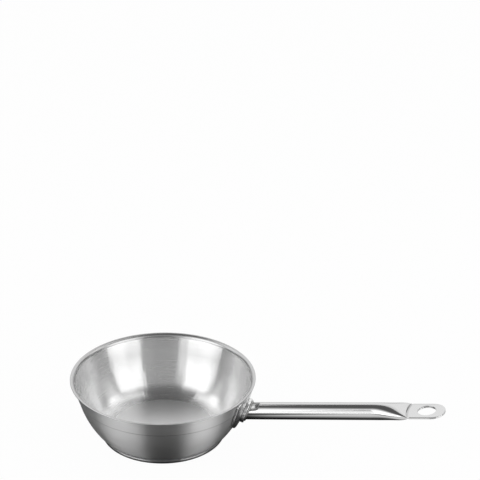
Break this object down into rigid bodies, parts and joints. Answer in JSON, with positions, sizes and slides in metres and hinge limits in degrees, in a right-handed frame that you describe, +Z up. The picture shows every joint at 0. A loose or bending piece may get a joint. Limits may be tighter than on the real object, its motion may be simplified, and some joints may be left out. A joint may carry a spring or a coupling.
{
  "type": "saute pan",
  "caption": "Curved, flared stainless steel saute pan with a pouring lip, a sandwich base and a welded tube handle pressed flat into a hanging tab.",
  "frame": {"origin": "centre of the base's flat underside, on the pan's axis", "axes": "+Z up out of the bowl, +X towards the handle's tip"},
  "size_m": [0.4222, 0.208, 0.0816],
  "materials": {
    "satin_steel": "satin, brushed around the axis",
    "base_steel": "turned satin",
    "aluminium_core": "as rolled",
    "plate_steel": "polished sheet",
    "polished_steel": "mirror polished",
    "weld_steel": "brushed weld"
  },
  "bodies": {
    "root": {"pan_body": "satin_steel", "base_cap": "base_steel", "heat_spreader_disc": "aluminium_core", "saddle_plate": "plate_steel", "handle_collar": "plate_steel", "handle_tube": "polished_steel", "root_weld_bead": "weld_steel"}
  },
  "joints": []
}
